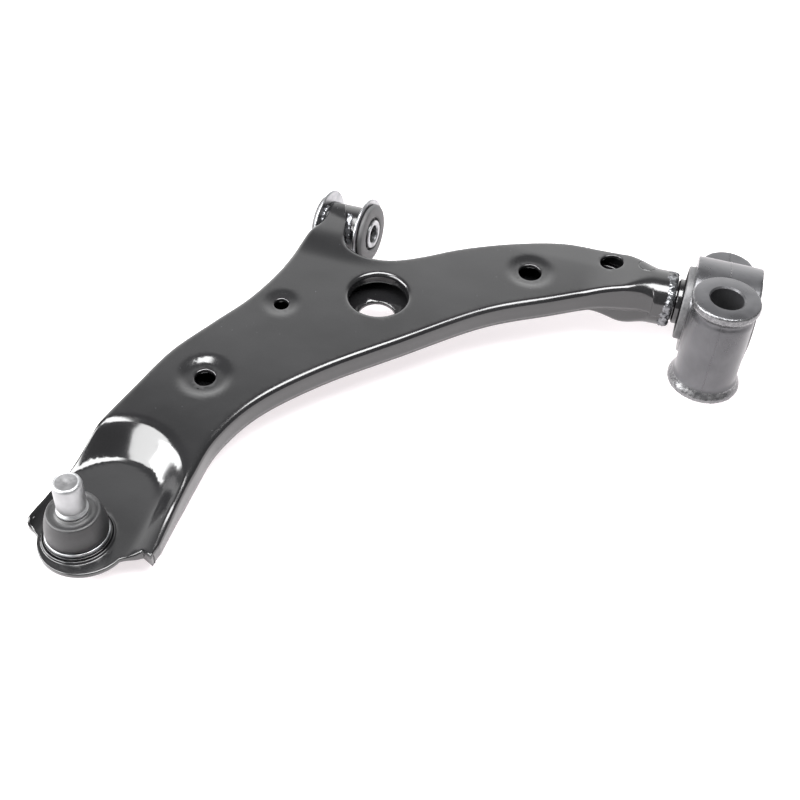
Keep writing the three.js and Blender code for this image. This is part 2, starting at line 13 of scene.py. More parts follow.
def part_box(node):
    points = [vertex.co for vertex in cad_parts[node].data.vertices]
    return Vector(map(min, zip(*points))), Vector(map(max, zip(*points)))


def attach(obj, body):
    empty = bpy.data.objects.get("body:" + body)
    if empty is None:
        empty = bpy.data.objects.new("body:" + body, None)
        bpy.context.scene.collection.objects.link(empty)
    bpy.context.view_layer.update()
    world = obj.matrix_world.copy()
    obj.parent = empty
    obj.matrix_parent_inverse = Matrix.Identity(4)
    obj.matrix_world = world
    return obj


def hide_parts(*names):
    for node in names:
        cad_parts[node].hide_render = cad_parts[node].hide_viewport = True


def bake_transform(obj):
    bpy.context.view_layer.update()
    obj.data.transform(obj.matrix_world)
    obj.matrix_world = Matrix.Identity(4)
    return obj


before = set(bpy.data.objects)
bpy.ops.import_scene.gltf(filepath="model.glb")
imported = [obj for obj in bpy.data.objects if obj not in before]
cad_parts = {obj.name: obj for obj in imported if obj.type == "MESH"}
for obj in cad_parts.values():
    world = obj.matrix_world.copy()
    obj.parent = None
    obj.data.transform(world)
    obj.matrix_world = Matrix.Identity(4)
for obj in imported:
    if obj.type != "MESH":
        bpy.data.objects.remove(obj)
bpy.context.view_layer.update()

MM = 0.001


# ---------------------------------------------------------------- places taken from the frame
def centre(node):
    low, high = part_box(node)
    return (Vector(low) + Vector(high)) / 2


eye_centre = centre("front_eye_tube")
home = Vector((eye_centre.x, eye_centre.y, 0))
pivot_height = eye_centre.z / MM
ball_x, ball_y = ((centre("ball_stud") - home) / MM).xy
spread = (centre("rear_bracket").x - home.x) / MM

# ---------------------------------------------------------------- sizes in millimetres
SHEET = 3.2
FIT = 0.3
ARM_TOP = 57
ARM_DEPTH = 22
WALL_DEPTH = 18
LAP = 7
EDGE_ROLL = 5
PLATE_TOP = 21
PLATE_RADIUS = 31.5
PLATE_SHIFT = 4.5
POCKET_RADIUS = 34
POCKET_SHIFT = 3
POCKET_LENGTH = 36
POCKET_RAMPS = {"end": 27, "rear": 19, "front": 8}

BALL_RADIUS = 12.5
BALL_HEIGHT = 18
HOUSING_RADIUS = 20
HOUSING_FLANGE = 22.6
HOUSING_FLANGE_THICKNESS = 2.6
HOUSING_TOP = 27.4
SEAT_WALL = 2
CAP_THICKNESS = 1.8
STUD_NECK = 7
BOOT_SPLIT = 37  # height where the boot's two halves meet
SHANK_RADIUS = 9.9
STUD_TOP = 76
COLLAR_HEIGHT = 48.2

EYE_RADIUS = 20
EYE_WALL = 2.2
EYE_LENGTH = 33
EYE_YAW = -7
EYE_PITCH = 4.5
BUSH_FLANGE = 29
BUSH_FLANGE_THICKNESS = 2.4
BUFFER_RADIUS = 25
BUFFER_THICKNESS = 4.2
FRONT_SLEEVE = 12
FRONT_BORE = 7.4
FRONT_SLEEVE_LENGTH = 49
TONGUE_OFFSET = -8.6
TONGUE_WIDTH = 11

HORN_TUBE = 22
HORN_GAP = 42
HORN_COLLAR = 18.5
HORN_COLLAR_LENGTH = 13
HORN_SPIGOT = 13
HORN_ROOT = 15
HORN_ROOT_LENGTH = 50
HORN_NECK = 17
REAR_BUSH = 30
REAR_RING_WALL = 2.6
REAR_SLEEVE = 18
BRACKET_RADIUS = 39.6
BRACKET_LENGTH = 52
COLUMN_SPREAD = 41.5
COLUMN_RADIUS = 24.6
COLUMN_HEIGHT = 86
LOW_COLUMN_HEIGHT = 53
LOW_COLUMN_RADIUS = 22.5
HEAD_RADIUS = 27
HEAD_HEIGHT = 11
FOOT_RADIUS = 29.2
FOOT_HEIGHT = 9
COUNTERBORE_RADIUS = 12.9
COUNTERBORE_DEPTH = 28
BOLT_RADIUS = 7.6
MACHINED = 0.35  # taken off the casting's flat faces
PARTING_LINE = 0.45  # how proud the moulding line stands
BIG_HOLE = 23.5
BIG_HOLE_DEPTH = 9
BIG_HOLE_ROLL = 3.6
LOWER_HOLE = 15
LOWER_HOLE_SHIFT = 3
LOWER_END_SHARE = 0.65  # how far out towards the ball joint the lower pressing reaches
STAMP_RADIUS = 7

# how finely a pressed edge is cut: rings round its roll, then down its wall
ROLL_RINGS = 9
WALL_RINGS = 4

arm_end = spread - HORN_GAP
ball = Vector((ball_x, ball_y))
eye = Vector((0, 0))
horn = Vector((arm_end, 0))


def mix(low, high, share):
    return low + (high - low) * share


def smooth(value, low, high):
    share = min(max((value - low) / (high - low), 0), 1)
    return share * share * (3 - 2 * share)


def between(start, end, fraction, aside):
    """A point a fraction of the way between two places, set off to the left by some millimetres."""
    run = end - start
    left = Vector((-run.y, run.x)).normalized()
    return start + run * fraction + left * aside


# ---------------------------------------------------------------- materials
def colour(code):
    """A linear RGBA colour from an sRGB hex value."""
    channels = [int(code[i:i + 2], 16) / 255 for i in (1, 3, 5)]
    return [c / 12.92 if c < 0.04045 else ((c + 0.055) / 1.055) ** 2.4 for c in channels] + [1]


def node(tree, kind, inputs=None, **settings):
    """Adds a node with its settings; an input is a value or another node's output."""
    made = tree.nodes.new(kind)
    for key, value in settings.items():
        setattr(made, key, value)
    for name, value in (inputs or {}).items():
        if isinstance(value, bpy.types.NodeSocket):
            tree.links.new(value, made.inputs[name])
        else:
            made.inputs[name].default_value = value
    return made


def new_material(name, finish):
    """A material with its constants set: metallic, and the IOR of anything that isn't metal."""
    material = bpy.data.materials.new(name)
    material.use_nodes = True
    tree = material.node_tree
    shader = next(n for n in tree.nodes if n.type == "BSDF_PRINCIPLED")
    for socket, value in finish.items():
        shader.inputs[socket].default_value = value
    return material, tree, shader


def skin(name, dark, light, blotch, gloss, relief, finish):
    """A clouded surface: two colours and two roughnesses mixed by blotches of a size in millimetres.

    relief lists the bumps from fine to coarse, each with its width and its depth in millimetres.
    """
    material, tree, shader = new_material(name, finish)
    place = node(tree, "ShaderNodeTexCoord").outputs["Object"]
    cloud = node(tree, "ShaderNodeTexNoise", {
        "Vector": place, "Scale": 1 / (blotch * MM * 2), "Detail": 4,
    }).outputs["Fac"]
    share = node(tree, "ShaderNodeMapRange", {
        "Value": cloud, "From Min": 0.3, "From Max": 0.7,
    }).outputs["Result"]
    base = node(tree, "ShaderNodeMix", {"Factor": share, "A": colour(dark), "B": colour(light)},
                data_type="RGBA").outputs["Result"]
    dull = node(tree, "ShaderNodeMapRange", {
        "Value": share, "To Min": gloss[0], "To Max": gloss[1],
    }).outputs["Result"]
    tree.links.new(base, shader.inputs["Base Color"])
    tree.links.new(dull, shader.inputs["Roughness"])
    for width, depth in relief:
        grain = node(tree, "ShaderNodeTexNoise", {
            "Vector": place, "Scale": 1 / (width * MM * 2), "Detail": 2,
        }).outputs["Fac"]
        raise_surface(tree, shader, grain, depth)
    return material, tree, shader, place


def raise_surface(tree, shader, height, depth):
    """Adds one more layer of bumps, this many millimetres deep, to what the shader already has."""
    inputs = {"Height": height, "Distance": depth * MM, "Strength": 1}
    if shader.inputs["Normal"].is_linked:
        inputs["Normal"] = shader.inputs["Normal"].links[0].from_socket
    tree.links.new(node(tree, "ShaderNodeBump", inputs).outputs["Normal"], shader.inputs["Normal"])


def electrocoat():
    """Black cathodic paint on pressed steel: dark and glossy, with orange peel, low waves and dust."""
    material, tree, shader, place = skin("black_electrocoat", "#0e0e0f", "#161617", 30, (0.13, 0.19),
                                         [(1.8, 0.012), (30, 0.35)], {"IOR": 1.6})
    # dust shows as pale specks under half a millimetre across
    motes = node(tree, "ShaderNodeTexVoronoi", {"Vector": place, "Scale": 1 / (9 * MM)})
    mote = node(tree, "ShaderNodeMapRange", {
        "Value": motes.outputs["Distance"], "From Min": 0.02, "From Max": 0.035, "To Min": 1, "To Max": 0,
    }).outputs["Result"]
    under = shader.inputs["Base Color"].links[0].from_socket
    dusty = node(tree, "ShaderNodeMix", {"Factor": mote, "A": under, "B": colour("#4c4c50")},
                 data_type="RGBA").outputs["Result"]
    tree.links.new(dusty, shader.inputs["Base Color"])
    # a plain ring is stamped into the tube at the horn
    stamp = home + Vector((arm_end - 22, 9, pivot_height + HORN_TUBE)) * MM
    away = node(tree, "ShaderNodeVectorMath", {0: place, 1: stamp}, operation="DISTANCE").outputs["Value"]
    off = node(tree, "ShaderNodeMath", {0: away, 1: STAMP_RADIUS * MM}, operation="SUBTRACT")
    near = node(tree, "ShaderNodeMath", {0: off.outputs["Value"]}, operation="ABSOLUTE")
    groove = node(tree, "ShaderNodeMapRange", {
        "Value": near.outputs["Value"], "From Min": 0.2 * MM, "From Max": 0.7 * MM,
    }).outputs["Result"]
    raise_surface(tree, shader, groove, 0.25)
    return material


PAINT = electrocoat()

# a thin coat on sand-cast iron: satin grey over fine grains
CASTING = skin("coated_cast_iron", "#464648", "#555557", 12, (0.26, 0.38), [(0.9, 0.06)],
               {"Metallic": 0.75})[0]

# the casting's unmachined edges: coarse grains that glint
RAW_CASTING = skin("raw_cast_iron", "#555557", "#747475", 1.3, (0.16, 0.34), [(1.3, 0.14)],
                   {"Metallic": 0.8})[0]

# ground steel: pale and satin, with a faint waviness from the wheel
STEEL = skin("ground_steel", "#8b8c8d", "#999a9b", 5, (0.42, 0.5), [(0.6, 0.008)], {"Metallic": 1})[0]

# forged steel left as it came from the die: darker and rougher than the ground shank
FACE_STEEL = skin("forged_steel_face", "#4a4a4b", "#5e5e5f", 1.2, (0.45, 0.6), [(1.2, 0.03)],
                  {"Metallic": 0.6})[0]

# bright zinc plate: pale, slightly mottled metal
ZINC = skin("zinc_plated_steel", "#77787a", "#a3a4a6", 3.5, (0.3, 0.42), [(0.8, 0.01)],
            {"Metallic": 1})[0]

# a welding bead under paint: wet-looking ripples that catch hard glints
WELD = skin("painted_weld_bead", "#2b2c2e", "#77787b", 2.4, (0.1, 0.2), [(1.1, 0.25)],
            {"Metallic": 0.7})[0]

# moulded natural rubber: soft grey bloom over black, with a fine matt grain
BUSH_RUBBER = skin("bush_rubber", "#343435", "#444445", 6, (0.5, 0.6), [(0.7, 0.03)], {"IOR": 1.52})[0]

# moulded chloroprene for the boot: darker and a little glossier than the bush
BOOT_RUBBER = skin("boot_rubber", "#121213", "#1b1b1c", 6, (0.42, 0.52), [(0.7, 0.03)], {"IOR": 1.52})[0]

# moulded acetal for the ball's seat: milky and smooth
ACETAL = skin("moulded_acetal", "#d9d6cb", "#e4e1d8", 4, (0.38, 0.42), [], {"IOR": 1.48})[0]


# ---------------------------------------------------------------- making pieces
def finish_piece(bm, name, material, body, replaced=(), sharp=40, place=None):
    """Turns a mesh in millimetres into a piece in metres that rides on its body."""
    bmesh.ops.transform(bm, matrix=place or Matrix(), verts=bm.verts)
    bmesh.ops.scale(bm, vec=(MM, MM, MM), verts=bm.verts)
    bmesh.ops.translate(bm, vec=home, verts=bm.verts)
    mesh = bpy.data.meshes.new(name)
    bm.to_mesh(mesh)
    bm.free()
    piece = bpy.data.objects.new(name, mesh)
    bpy.context.scene.collection.objects.link(piece)
    materials = material if isinstance(material, list) else [material]
    for one in materials:
        mesh.materials.append(one)
    mesh.shade_smooth()
    mesh.set_sharp_from_angle(angle=radians(sharp))
    if body:
        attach(piece, body)
    if replaced:
        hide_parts(*replaced)
    return piece


def spun(profile, sides=72, rounding=0.35, segments=3):
    """A turned solid about Z from (radius, height) points; sharp rings get a small radius."""
    bm = bmesh.new()
    points = [bm.verts.new((radius, 0, height)) for radius, height in profile]
    for first, second in zip(points, points[1:]):
        bm.edges.new((first, second))
    if profile[0][0] > 0 or profile[-1][0] > 0:
        bm.edges.new((points[-1], points[0]))
    bmesh.ops.spin(bm, geom=bm.verts[:] + bm.edges[:], cent=(0, 0, 0), axis=(0, 0, 1),
                   angle=2 * pi, steps=sides, use_merge=True)
    bmesh.ops.remove_doubles(bm, verts=bm.verts, dist=1e-4)
    bmesh.ops.recalc_face_normals(bm, faces=bm.faces)
    if rounding:
        sharp = [e for e in bm.edges if len(e.link_faces) == 2 and e.calc_face_angle() > radians(28)]
        bmesh.ops.bevel(bm, geom=sharp, offset=rounding, segments=segments, profile=0.5,
                        affect="EDGES", material=-1, clamp_overlap=True)
    return bm


def along_x(x=0, y=0, z=0):
    """Stands a spun solid's axis along X, its heights measured from x."""
    return Matrix.Translation((x, y, z)) @ Matrix.Rotation(pi / 2, 4, "Y")


eye_turn = (Matrix.Translation((0, 0, pivot_height)) @ Matrix.Rotation(radians(EYE_YAW), 4, "Z")
            @ Matrix.Rotation(-radians(EYE_PITCH), 4, "Y") @ Matrix.Rotation(pi / 2, 4, "Y"))
horn_turn = along_x(0, 0, pivot_height)
at_ball = Matrix.Translation((ball.x, ball.y, 0))


# ---------------------------------------------------------------- the arm's outline
def splined(points, pieces):
    """A smooth curve through the points, cut into equal shares of its parameter."""
    path = []
    last = len(points) - 1
    for step in range(pieces + 1):
        where = step / pieces * last
        i = min(int(where), last - 1)
        t = where - i
        before, start = points[max(i - 1, 0)], points[i]
        end, after = points[i + 1], points[min(i + 2, last)]
        leave, arrive = (end - before) / 2, (after - start) / 2
        path.append(start * (2 * t**3 - 3 * t**2 + 1) + leave * (t**3 - 2 * t**2 + t)
                    + end * (3 * t**2 - 2 * t**3) + arrive * (t**3 - t**2))
    return path


front_nose = ball + Vector((-37.2, 0.5))
front_tip = [ball + Vector(p) for p in ((-36.9, -1.6), (-35.8, -3.6), (-33.8, -5.2), (-31.2, -6.6))]
rear_nose = ball + Vector((57.5, -5.5))
plate_centre = ball + Vector((PLATE_SHIFT, 0))
plate_end = [plate_centre + PLATE_RADIUS * Vector((cos(a), sin(a)))
             for a in (-pi * mix(0.9, 0.1, i / 40) for i in range(41))]
plate_end += [ball + Vector((43, -5)), ball + Vector((47, -2))]

rear_edge = [
    rear_nose,
    ball + Vector((56.5, 31)),
    ball + Vector((57, 63)),
    between(ball, horn, 0.225, 24.5),
    between(ball, horn, 0.305, 41),
    between(ball, horn, 0.415, 47),
    between(ball, horn, 0.545, 45.5),
    between(eye, horn, 0.505, -81.5),
    between(eye, horn, 0.68, -50.5),
    between(eye, horn, 0.8, -31),
    between(eye, horn, 0.9, -24),
    Vector((arm_end, 0.4 - HORN_TUBE)),
]
inboard_edge = [
    Vector((arm_end, HORN_TUBE - 0.4)),
    between(eye, horn, 0.88, 22),
    between(eye, horn, 0.76, 25.5),
    between(eye, horn, 0.65, 23),
    between(eye, horn, 0.52, 9.5),
    between(eye, horn, 0.375, -12),
    between(eye, horn, 0.27, -32.5),
    between(eye, horn, 0.2, -43.5),
    between(eye, horn, 0.137, -48.5),
    between(eye, horn, 0.078, -46.5),
    between(eye, horn, 0.034, -37),
]
front_edge = [
    between(ball, eye, 0.88, 15.5),
    between(ball, eye, 0.76, 13.5),
    between(ball, eye, 0.65, 17.5),
    between(ball, eye, 0.55, 27.5),
    between(ball, eye, 0.438, 38),
    between(ball, eye, 0.32, 40.5),
    between(ball, eye, 0.218, 42),
    between(ball, eye, 0.1, 41),
    front_nose,
]


def outline_with(neck_rear, neck_front):
    """The outline anticlockwise from above, without the straight end at the horn."""
    return (splined(inboard_edge + neck_rear, 190) + splined(neck_front + front_edge, 170)
            + front_tip + plate_end + splined(rear_edge, 230))


tongue_end = 3
upper_outline = outline_with(
    [Vector((TONGUE_OFFSET + TONGUE_WIDTH, -14)),
     Vector((TONGUE_OFFSET + TONGUE_WIDTH / 2, tongue_end))],
    [Vector((TONGUE_OFFSET - TONGUE_WIDTH / 2, tongue_end)),
     Vector((TONGUE_OFFSET - TONGUE_WIDTH * 0.62, -22))],
)
blunt_end = -EYE_RADIUS - FIT - SHEET
lower_outline = outline_with(
    [Vector((TONGUE_OFFSET + TONGUE_WIDTH + 2, blunt_end))],
    [Vector((TONGUE_OFFSET - TONGUE_WIDTH * 0.7, blunt_end))],
)

# ---------------------------------------------------------------- pressed relief
SIDE_VIEW = splined([
    Vector((-0.2, ARM_TOP)),
    Vector((0, ARM_TOP)),
    Vector((0.35, ARM_TOP - 7)),
    Vector((0.7, ARM_TOP - 15)),
    Vector((0.87, ARM_TOP - 21)),
    Vector((1, PLATE_TOP + 7)),
    Vector((1.25, PLATE_TOP + 3)),
], 90)


def crown_height(y):
    share = min(max(y / ball_y, 0), 1.15)
    for low, high in zip(SIDE_VIEW, SIDE_VIEW[1:]):
        if high.x >= share:
            return mix(low.y, high.y, (share - low.x) / (high.x - low.x))
    return SIDE_VIEW[-1].y


def filleted_ramp(share, foot=0.12, top=0.35):
    """A straight ramp from 0 to 1 with a tight round at its foot and a wider one at its top."""
    share = min(max(share, 0), 1)
    slope = 1 / (1 - (foot + top) / 2)
    if share < foot:
        return slope * share**2 / (2 * foot)
    if share > 1 - top:
        return 1 - slope * (1 - share)**2 / (2 * top)
    return slope * (share - foot / 2)


def pocket_rise(x, y):
    """0 on the pocket's flat floor, rising to 1 at the top of its slopes."""
    across = x - ball.x - POCKET_SHIFT
    beyond = max(0, y - (ball.y + POCKET_LENGTH))
    reach = hypot(across, beyond)
    side = POCKET_RAMPS["rear"] if across > 0 else POCKET_RAMPS["front"]
    ramp = mix(side, POCKET_RAMPS["end"], beyond / reach if reach > 0 else 0)
    return filleted_ramp((reach - POCKET_RADIUS) / ramp)


def over_eye(x, y, radius):
    """Height of a cylinder of this radius round the front bush's axis, or None beside it."""
    across = -x * sin(radians(EYE_YAW)) + y * cos(radians(EYE_YAW))
    along = x * cos(radians(EYE_YAW)) + y * sin(radians(EYE_YAW))
    if abs(across) >= radius:
        return None
    return pivot_height + along * tan(radians(EYE_PITCH)) + sqrt(radius**2 - across**2)


holes = [
    {"centre": between(ball, eye, 0.41, -0.5), "radius": 7.8, "dish": 21, "depth": 2.2},
    {"centre": between(ball, eye, 0.665, -9), "radius": 5.8, "dish": 15, "depth": 1.4},
    {"centre": between(eye, horn, 0.593, -23.5), "radius": 9.3, "dish": 20, "depth": 1.6},
    {"centre": between(eye, horn, 0.816, 7.5), "radius": 9.3, "dish": 0, "depth": 0},
]
big_hole = between(eye, horn, 0.199, -89)


def towards_horn(x):
    return smooth(x, arm_end - 70, arm_end - 22)


def into_tube(x):
    return smooth(x, arm_end - 40, arm_end - 12)


def top_height(x, y):
    height = crown_height(y)
    neck = smooth(y, -64, -30) * (1 - smooth(x, 20, 60))
    height += 3.6 * neck
    wrap = over_eye(x, y, EYE_RADIUS + FIT + SHEET)
    if wrap is not None and x < spread / 5:
        height = max(height, wrap)
    height = mix(height, pivot_height + HORN_TUBE, towards_horn(x))
    for hole in holes:
        if hole["dish"]:
            distance = (Vector((x, y)) - hole["centre"]).length
            height -= hole["depth"] * (1 - smooth(distance, hole["dish"] - 7, hole["dish"]))
    return mix(PLATE_TOP, height, pocket_rise(x, y))


def wall_foot(x, y):
    foot = max(crown_height(y) - WALL_DEPTH, PLATE_TOP - SHEET)
    foot = mix(foot, pivot_height - 4, smooth(x, arm_end - 60, arm_end - 8))
    tube = over_eye(x, y, EYE_RADIUS + FIT)
    return foot if tube is None or x > spread / 5 else max(foot, tube)


def edge_roll(x, y):
    """Radius of the rolled edge: small round the plate and the tongue, a half tube at the horn."""
    nose = mix(1, 2.6, smooth(abs(x - ball.x - PLATE_SHIFT), PLATE_RADIUS + 1, PLATE_RADIUS + 6))
    radius = mix(nose, EDGE_ROLL, smooth(y, ball.y - 4, ball.y + 28))
    if x < spread / 12:
        radius = mix(radius, 1.6, smooth(y, -46, -20))
    return mix(radius, HORN_TUBE - 2.5, into_tube(x))


def floor_height(x, y):
    return mix(crown_height(y) - ARM_DEPTH, pivot_height - HORN_TUBE, towards_horn(x))


def floor_roll(x, y):
    return mix(4, HORN_TUBE - SHEET - FIT - 2.5, into_tube(x))


def lap_top(x, y):
    return min(wall_foot(x, y) + LAP, top_height(x, y) - SHEET - FIT - edge_roll(x, y) * 0.6)


# ---------------------------------------------------------------- pressing a shell
def outward(path, i, reach=2):
    """Which way is out of an anticlockwise path at one of its points."""
    run = path[min(i + reach, len(path) - 1)] - path[max(i - reach, 0)]
    return Vector((run.y, -run.x)).normalized()


def nearest_way(path, point):
    """The outward way of the path where it passes nearest to a point."""
    best = (1e9, None)
    for i in range(len(path) - 1):
        run = path[i + 1] - path[i]
        share = min(max((point - path[i]).dot(run) / run.length_squared, 0), 1)
        gap = (path[i] + run * share - point).length
        if gap < best[0]:
            best = (gap, outward(path, i, 3).lerp(outward(path, i + 1, 3), share).normalized())
    return best[1]


def set_in(path, distance_at):
    """The open outline moved inwards, without the points that would fall nearer to another part of it."""
    moved = []
    for i, point in enumerate(path):
        distance = distance_at(point.x, point.y)
        here = point - outward(path, i) * distance
        if all((here - other).length > distance * 0.95 for other in path):
            moved.append(here)
    return moved


def thin_out(path, step):
    """Drops points that lie nearer than a step to the one before."""
    kept = [path[0]]
    for point in path[1:]:
        if (point - kept[-1]).length >= step:
            kept.append(point)
    return kept


def blank(outline, round_holes, pitch):
    """A flat sheet with an outline and round holes, cut into a square grid."""
    bm = bmesh.new()
    corners = [bm.verts.new((p.x, p.y, 0)) for p in outline]
    for first, second in zip(corners, corners[1:] + corners[:1]):
        bm.edges.new((first, second))
    for place, radius in round_holes:
        bmesh.ops.create_circle(bm, segments=56, radius=radius,
                                matrix=Matrix.Translation((place.x, place.y, 0)))
    bmesh.ops.triangle_fill(bm, edges=bm.edges[:], use_beauty=True)
    for axis in (0, 1):
        places = [v.co[axis] for v in bm.verts]
        line = min(places) + pitch / 2
        while line < max(places):
            on = Vector((line, 0, 0)) if axis == 0 else Vector((0, line, 0))
            bmesh.ops.bisect_plane(bm, geom=bm.verts[:] + bm.edges[:] + bm.faces[:], dist=1e-4,
                                   plane_co=on, plane_no=(axis == 0, axis == 1, 0))
            line += pitch

    def slanted(edge):
        run = edge.verts[0].co - edge.verts[1].co
        return len(edge.link_faces) == 2 and abs(run.x) > 1e-3 and abs(run.y) > 1e-3

    bmesh.ops.dissolve_edges(bm, edges=[e for e in bm.edges if slanted(e)], use_verts=False)
    spare = [v for v in bm.verts if len(v.link_edges) == 2 and not v.is_boundary]
    bmesh.ops.dissolve_verts(bm, verts=spare)
    bmesh.ops.remove_doubles(bm, verts=bm.verts, dist=0.25)
    rim = [v for v in bm.verts if v.is_boundary]
    pairs = bmesh.ops.find_doubles(bm, verts=bm.verts, keep_verts=rim, dist=0.7)["targetmap"]
    bmesh.ops.weld_verts(bm, targetmap=pairs)
    bmesh.ops.remove_doubles(bm, verts=[v for v in bm.verts if v.is_boundary], dist=0.5)
    return bm


def rolled_rim(bm, rim, ring_at, rings):
    """Extrudes an edge chain ring by ring; ring_at gives each new vertex its place."""
    source = {v: v.co.copy() for e in rim for v in e.verts}
    for ring in range(1, rings + 1):
        made = bmesh.ops.extrude_edge_only(bm, edges=rim)["geom"]
        rim = [g for g in made if isinstance(g, bmesh.types.BMEdge)]
        fresh = {}
        for vert in (g for g in made if isinstance(g, bmesh.types.BMVert)):
            old = next(e.other_vert(vert) for e in vert.link_edges if e.other_vert(vert) in source)
            fresh[vert] = source[old]
        for vert, start in fresh.items():
            vert.co = ring_at(start, ring)
        rim = [e for e in rim if e.verts[0] in fresh and e.verts[1] in fresh]
        source = fresh


def pressing(name, outline, round_holes, height, roll, foot, side, pitch, replaced, cut=None):
    """A pressed shell: a relief, rolled edges and side walls, as one skin given the sheet's thickness."""
    inner = thin_out(set_in(outline, roll), 1.6)
    bm = blank(inner, [(hole[0], hole[1]) for hole in round_holes], pitch)
    hole_edges = []
    for place, radius, _ in round_holes:
        near = [e for e in bm.edges if e.is_boundary
                and all((v.co.xy - place).length < radius + 0.3 for v in e.verts)]
        hole_edges.append(near)
    taken = {e for near in hole_edges for e in near}
    end = max(p.x for p in inner) - 0.05
    rim = [e for e in bm.edges if e.is_boundary and e not in taken
           and not all(v.co.x > end for v in e.verts)]
    for vert in bm.verts:
        vert.co.z = height(vert.co.x, vert.co.y)

    ways = {tuple(v.co): nearest_way(inner, v.co.xy) for e in rim for v in e.verts}
    def rim_at(start, ring):
        radius = roll(start.x, start.y)
        angle = min(ring / ROLL_RINGS, 1) * pi / 2
        place = start.xy + ways[tuple(start)] * radius * sin(angle)
        drop = radius * (1 - cos(angle))
        low = height(place.x, place.y) - side * drop
        if ring > ROLL_RINGS:
            down = (ring - ROLL_RINGS) / WALL_RINGS
            last = foot(place.x, place.y)
            low = mix(low, min(low, last) if side > 0 else max(low, last), down)
        return Vector((place.x, place.y, low))

    rolled_rim(bm, rim, rim_at, ROLL_RINGS + WALL_RINGS)
    for edges, (place, radius, profile) in zip(hole_edges, round_holes):
        def hole_at(start, ring, place=place, radius=radius, profile=profile):
            inset, drop = profile[ring - 1]
            way = (start.xy - place).normalized()
            at = place + way * (radius - inset)
            return Vector((at.x, at.y, start.z - side * drop))
        rolled_rim(bm, edges, hole_at, len(profile))
    if cut is not None:
        bmesh.ops.bisect_plane(bm, geom=bm.verts[:] + bm.edges[:] + bm.faces[:], dist=1e-4,
                               plane_co=cut, plane_no=(0, -1, 0), clear_outer=True)
    bmesh.ops.recalc_face_normals(bm, faces=bm.faces)
    if side * sum(f.normal.z * f.calc_area() for f in bm.faces) < 0:
        bmesh.ops.reverse_faces(bm, faces=bm.faces)
    piece = finish_piece(bm, name, PAINT, "arm", [replaced], sharp=50)
    sheet = piece.modifiers.new("sheet", "SOLIDIFY")
    sheet.thickness = SHEET * MM
    sheet.offset = -1
    return piece


def quarter_roll(radius, steps, wall, wall_steps=2):
    """Rings of a rim that rolls over and then goes straight down: (inset, drop)."""
    rings = [(radius * sin(pi / 2 * i / steps), radius * (1 - cos(pi / 2 * i / steps)))
             for i in range(1, steps + 1)]
    return rings + [(radius, radius + wall * i / wall_steps) for i in range(1, wall_steps + 1)]


def punched(hole, roll=0.9):
    return (hole["centre"], hole["radius"] + roll, quarter_roll(roll, 3, SHEET - roll))


lip_foot = HOUSING_FLANGE + FIT + 2.5
lip_profile = [
    (0.3, -0.1), (0.6, -0.45), (0.9, -1.0), (1.25, -1.45), (1.6, -1.6), (1.95, -1.45),
    (2.25, -1.0), (2.45, -0.3), (2.5, SHEET - 0.6),
]
upper_holes = [punched(hole) for hole in holes]
upper_holes.append((big_hole, BIG_HOLE + BIG_HOLE_ROLL,
                    quarter_roll(BIG_HOLE_ROLL, 7, BIG_HOLE_DEPTH - BIG_HOLE_ROLL, 3)))
upper_holes.append((ball, lip_foot, lip_profile))
PITCH = 3
pressing("upper_pressing", upper_outline, upper_holes, top_height, edge_roll, wall_foot, 1, PITCH,
         "upper_shell")

lower_path = set_in(lower_outline, lambda x, y: SHEET + FIT)
lower_hole = big_hole + Vector((0, -LOWER_HOLE_SHIFT))
pressing("lower_pressing", lower_path, [(lower_hole, LOWER_HOLE, [])],
         floor_height, floor_roll, lap_top, -1, PITCH * 2, "lower_shell",
         cut=Vector((0, LOWER_END_SHARE * ball_y, 0)))


# ---------------------------------------------------------------- front eye and bush
half_eye = EYE_LENGTH / 2
tube_bore = EYE_RADIUS - EYE_WALL
finish_piece(spun([(tube_bore, -half_eye), (EYE_RADIUS, -half_eye), (EYE_RADIUS, half_eye),
                   (tube_bore, half_eye)], 96),
             "eye_tube", PAINT, "arm", ["front_eye_tube"], place=eye_turn)

bush_outer = tube_bore - FIT
bush_inner = bush_outer - 1.4
for name, side in (("fore", -1), ("aft", 1)):
    face = side * (half_eye + FIT)
    rim = face + side * BUSH_FLANGE_THICKNESS
    finish_piece(spun([
        (bush_inner, side * 0.5), (bush_outer, side * 0.5), (bush_outer, face),
        (BUSH_FLANGE - 0.9, face), (BUSH_FLANGE, face + side * 0.7), (BUSH_FLANGE, rim - side * 0.5),
        (BUSH_FLANGE - 0.7, rim), (bush_inner, rim),
    ], 96, 0.3), f"bush_flange_{name}", ZINC, "arm", [f"front_bush_sleeve_{name}"],
        place=eye_turn)

buffer_face = half_eye + FIT + BUSH_FLANGE_THICKNESS + FIT
rubber_bore = FRONT_SLEEVE + FIT
rubber_core = bush_inner - FIT


